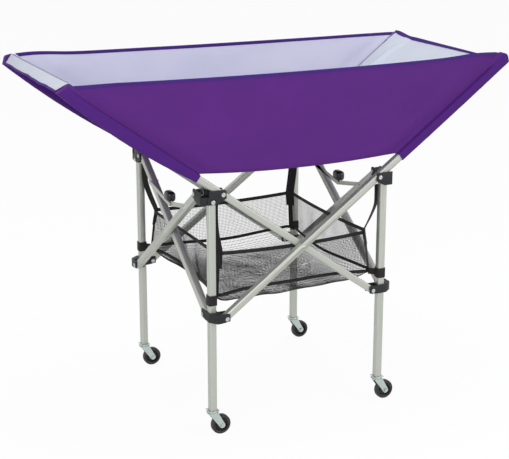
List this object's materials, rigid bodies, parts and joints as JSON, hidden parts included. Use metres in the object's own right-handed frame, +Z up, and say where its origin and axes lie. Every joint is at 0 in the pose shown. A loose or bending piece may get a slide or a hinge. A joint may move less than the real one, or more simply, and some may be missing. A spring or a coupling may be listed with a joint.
{
  "type": "folding ball cart",
  "caption": "Folding frame of crossed arms on swivel casters with a long cloth hammock for balls on top and a net basket between the legs.",
  "frame": {"origin": "on the floor, at the middle of the base between the casters", "axes": "+X along the long cloth hammock, +Z up, -Y towards the side that faces the viewer in the picture"},
  "size_m": [1.239, 0.5562, 0.9305],
  "materials": {
    "aluminium": "satin, anodised",
    "moulded_nylon": "fine moulded grain",
    "zinc_plated_steel": "bright zinc plating",
    "steel_bolt": "bright",
    "wheel_rubber": "matt rubber",
    "purple_cloth": "tightly woven coated polyester",
    "net": "open knitted net",
    "webbing": "flat woven webbing"
  },
  "bodies": {
    "leg_front_left": {"leg_front_left": "aluminium", "top_bracket_front_left": "moulded_nylon", "caster_stem_front_left": "zinc_plated_steel", "strap_front_left": "webbing", "leg_loop_front_left": "webbing", "basket": "net", "hammock_floor": "purple_cloth"},
    "leg_front_right": {"leg_front_right": "aluminium", "top_bracket_front_right": "moulded_nylon", "caster_stem_front_right": "zinc_plated_steel", "strap_front_right": "webbing", "leg_loop_front_right": "webbing"},
    "leg_back_left": {"leg_back_left": "aluminium", "top_bracket_back_left": "moulded_nylon", "caster_stem_back_left": "zinc_plated_steel", "strap_back_left": "webbing", "leg_loop_back_left": "webbing"},
    "leg_back_right": {"leg_back_right": "aluminium", "top_bracket_back_right": "moulded_nylon", "caster_stem_back_right": "zinc_plated_steel", "strap_back_right": "webbing", "leg_loop_back_right": "webbing"},
    "long_arm_front_left": {"long_arm_front_left": "aluminium", "sleeve_front_right": "purple_cloth", "hammock_end_right": "purple_cloth"},
    "short_arm_front_left": {"short_arm_front_left": "aluminium"},
    "slider_front_left": {"slider_front_left": "moulded_nylon"},
    "stay_bar_front_left": {"stay_bar_front_left": "aluminium"},
    "long_arm_front_right": {"long_arm_front_right": "aluminium", "sleeve_front_left": "purple_cloth", "hammock_end_left": "purple_cloth", "hammock_wall_front": "purple_cloth"},
    "short_arm_front_right": {"short_arm_front_right": "aluminium"},
    "slider_front_right": {"slider_front_right": "moulded_nylon"},
    "stay_bar_front_right": {"stay_bar_front_right": "aluminium", "stay_knob_right": "moulded_nylon"},
    "long_arm_back_left": {"long_arm_back_left": "aluminium", "sleeve_back_right": "purple_cloth"},
    "short_arm_back_left": {"short_arm_back_left": "aluminium"},
    "slider_back_left": {"slider_back_left": "moulded_nylon"},
    "stay_bar_back_left": {"stay_bar_back_left": "aluminium", "stay_knob_left": "moulded_nylon"},
    "long_arm_back_right": {"long_arm_back_right": "aluminium", "sleeve_back_left": "purple_cloth", "hammock_wall_back": "purple_cloth"},
    "short_arm_back_right": {"short_arm_back_right": "aluminium"},
    "slider_back_right": {"slider_back_right": "moulded_nylon"},
    "stay_bar_back_right": {"stay_bar_back_right": "aluminium"},
    "caster_front_left": {"caster_fork_front_left": "zinc_plated_steel", "caster_axle_front_left": "steel_bolt"},
    "wheel_front_left": {"caster_wheel_front_left": "wheel_rubber"},
    "caster_front_right": {"caster_fork_front_right": "zinc_plated_steel", "caster_axle_front_right": "steel_bolt"},
    "wheel_front_right": {"caster_wheel_front_right": "wheel_rubber"},
    "caster_back_left": {"caster_fork_back_left": "zinc_plated_steel", "caster_axle_back_left": "steel_bolt"},
    "wheel_back_left": {"caster_wheel_back_left": "wheel_rubber"},
    "caster_back_right": {"caster_fork_back_right": "zinc_plated_steel", "caster_axle_back_right": "steel_bolt"},
    "wheel_back_right": {"caster_wheel_back_right": "wheel_rubber"}
  },
  "joints": [
    {"name": "fold", "type": "hinge", "parent": "leg_front_left", "child": "long_arm_front_right", "pos_m": [-0.2162, -0.2435, 0.633], "axis": [0, 1, 0], "range_deg": [0, 45], "deforming": ["hammock_wall_front", "hammock_wall_back", "hammock_end_left", "hammock_end_right", "hammock_floor", "basket"]},
    {"name": "front_crossing", "type": "hinge", "parent": "long_arm_front_right", "child": "long_arm_front_left", "pos_m": [0, -0.2435, 0.47632], "axis": [0, 1, 0], "range_deg": [-90.01, 0]},
    {"name": "front_right_top", "type": "hinge", "parent": "long_arm_front_left", "child": "leg_front_right", "pos_m": [0.2162, -0.2435, 0.633], "axis": [0, 1, 0], "range_deg": [0, 45.01]},
    {"name": "front_left_slider", "type": "hinge", "parent": "long_arm_front_left", "child": "slider_front_left", "pos_m": [-0.2162, -0.2435, 0.31965], "axis": [0, 1, 0], "range_deg": [0, 45.01]},
    {"name": "front_right_slider", "type": "hinge", "parent": "long_arm_front_right", "child": "slider_front_right", "pos_m": [0.2162, -0.2435, 0.31965], "axis": [0, 1, 0], "range_deg": [-45.01, 0]},
    {"name": "left_top", "type": "hinge", "parent": "leg_front_left", "child": "short_arm_back_left", "pos_m": [-0.2435, -0.2162, 0.633], "axis": [-1, 0, 0], "range_deg": [0, 45.01]},
    {"name": "left_crossing", "type": "hinge", "parent": "short_arm_back_left", "child": "short_arm_front_left", "pos_m": [-0.2435, 0, 0.47632], "axis": [-1, 0, 0], "range_deg": [-90.01, 0]},
    {"name": "back_left_top", "type": "hinge", "parent": "short_arm_front_left", "child": "leg_back_left", "pos_m": [-0.2435, 0.2162, 0.633], "axis": [-1, 0, 0], "range_deg": [0, 45.01]},
    {"name": "back_top", "type": "hinge", "parent": "leg_back_left", "child": "long_arm_back_right", "pos_m": [-0.2162, 0.2435, 0.633], "axis": [0, 1, 0], "range_deg": [0, 45.01]},
    {"name": "back_crossing", "type": "hinge", "parent": "long_arm_back_right", "child": "long_arm_back_left", "pos_m": [0, 0.2435, 0.47632], "axis": [0, 1, 0], "range_deg": [-90.01, 0]},
    {"name": "back_right_top", "type": "hinge", "parent": "long_arm_back_left", "child": "leg_back_right", "pos_m": [0.2162, 0.2435, 0.633], "axis": [0, 1, 0], "range_deg": [0, 45.01]},
    {"name": "back_left_slider", "type": "hinge", "parent": "long_arm_back_left", "child": "slider_back_left", "pos_m": [-0.2162, 0.2435, 0.31965], "axis": [0, 1, 0], "range_deg": [0, 45.01]},
    {"name": "back_right_slider", "type": "hinge", "parent": "long_arm_back_right", "child": "slider_back_right", "pos_m": [0.2162, 0.2435, 0.31965], "axis": [0, 1, 0], "range_deg": [-45.01, 0]},
    {"name": "right_top", "type": "hinge", "parent": "leg_back_right", "child": "short_arm_front_right", "pos_m": [0.2435, 0.2162, 0.633], "axis": [1, 0, 0], "range_deg": [0, 45.01]},
    {"name": "right_crossing", "type": "hinge", "parent": "short_arm_front_right", "child": "short_arm_back_right", "pos_m": [0.2435, 0, 0.47632], "axis": [1, 0, 0], "range_deg": [-90.01, 0]},
    {"name": "left_stay_back", "type": "hinge", "parent": "short_arm_front_left", "child": "stay_bar_back_left", "pos_m": [-0.2435, 0.13847, 0.57667], "axis": [-1, 0, 0], "range_deg": [0, 134.86]},
    {"name": "left_stay_middle", "type": "hinge", "parent": "stay_bar_back_left", "child": "stay_bar_front_left", "pos_m": [-0.2435, 0, 0.55008], "axis": [1, 0, 0], "range_deg": [0, 179.7]},
    {"name": "right_stay_front", "type": "hinge", "parent": "short_arm_back_right", "child": "stay_bar_front_right", "pos_m": [0.2435, -0.13847, 0.57667], "axis": [1, 0, 0], "range_deg": [0, 134.86]},
    {"name": "right_stay_middle", "type": "hinge", "parent": "stay_bar_front_right", "child": "stay_bar_back_right", "pos_m": [0.2435, 0, 0.55008], "axis": [-1, 0, 0], "range_deg": [0, 179.7]},
    {"name": "caster_swivel_front_left", "type": "hinge", "parent": "leg_front_left", "child": "caster_front_left", "pos_m": [-0.2435, -0.2435, 0.06], "axis": [0, 0, 1], "continuous": true},
    {"name": "wheel_spin_front_left", "type": "hinge", "parent": "caster_front_left", "child": "wheel_front_left", "pos_m": [-0.2215, -0.2435, 0.0255], "axis": [0, 1, 0], "continuous": true},
    {"name": "caster_swivel_front_right", "type": "hinge", "parent": "leg_front_right", "child": "caster_front_right", "pos_m": [0.2435, -0.2435, 0.06], "axis": [0, 0, 1], "continuous": true},
    {"name": "wheel_spin_front_right", "type": "hinge", "parent": "caster_front_right", "child": "wheel_front_right", "pos_m": [0.2655, -0.2435, 0.0255], "axis": [0, 1, 0], "continuous": true},
    {"name": "caster_swivel_back_left", "type": "hinge", "parent": "leg_back_left", "child": "caster_back_left", "pos_m": [-0.2435, 0.2435, 0.06], "axis": [0, 0, 1], "continuous": true},
    {"name": "wheel_spin_back_left", "type": "hinge", "parent": "caster_back_left", "child": "wheel_back_left", "pos_m": [-0.2215, 0.2435, 0.0255], "axis": [0, 1, 0], "continuous": true},
    {"name": "caster_swivel_back_right", "type": "hinge", "parent": "leg_back_right", "child": "caster_back_right", "pos_m": [0.2435, 0.2435, 0.06], "axis": [0, 0, 1], "continuous": true},
    {"name": "wheel_spin_back_right", "type": "hinge", "parent": "caster_back_right", "child": "wheel_back_right", "pos_m": [0.2655, 0.2435, 0.0255], "axis": [0, 1, 0], "continuous": true}
  ],
  "couplings": [
    {"joint": "front_crossing", "follows": "fold", "ratio": -2},
    {"joint": "front_right_top", "follows": "fold", "ratio": 1},
    {"joint": "front_left_slider", "follows": "fold", "ratio": 1},
    {"joint": "front_right_slider", "follows": "fold", "ratio": -1},
    {"joint": "left_top", "follows": "fold", "ratio": 1},
    {"joint": "left_crossing", "follows": "fold", "ratio": -2},
    {"joint": "back_left_top", "follows": "fold", "ratio": 1},
    {"joint": "back_top", "follows": "fold", "ratio": 1},
    {"joint": "back_crossing", "follows": "fold", "ratio": -2},
    {"joint": "back_right_top", "follows": "fold", "ratio": 1},
    {"joint": "back_left_slider", "follows": "fold", "ratio": 1},
    {"joint": "back_right_slider", "follows": "fold", "ratio": -1},
    {"joint": "right_top", "follows": "fold", "ratio": 1},
    {"joint": "right_crossing", "follows": "fold", "ratio": -2},
    {"joint": "left_stay_back", "follows": "fold", "ratio": 2.9966},
    {"joint": "left_stay_middle", "follows": "fold", "ratio": 3.9932},
    {"joint": "right_stay_front", "follows": "fold", "ratio": 2.9966},
    {"joint": "right_stay_middle", "follows": "fold", "ratio": 3.9932}
  ]
}
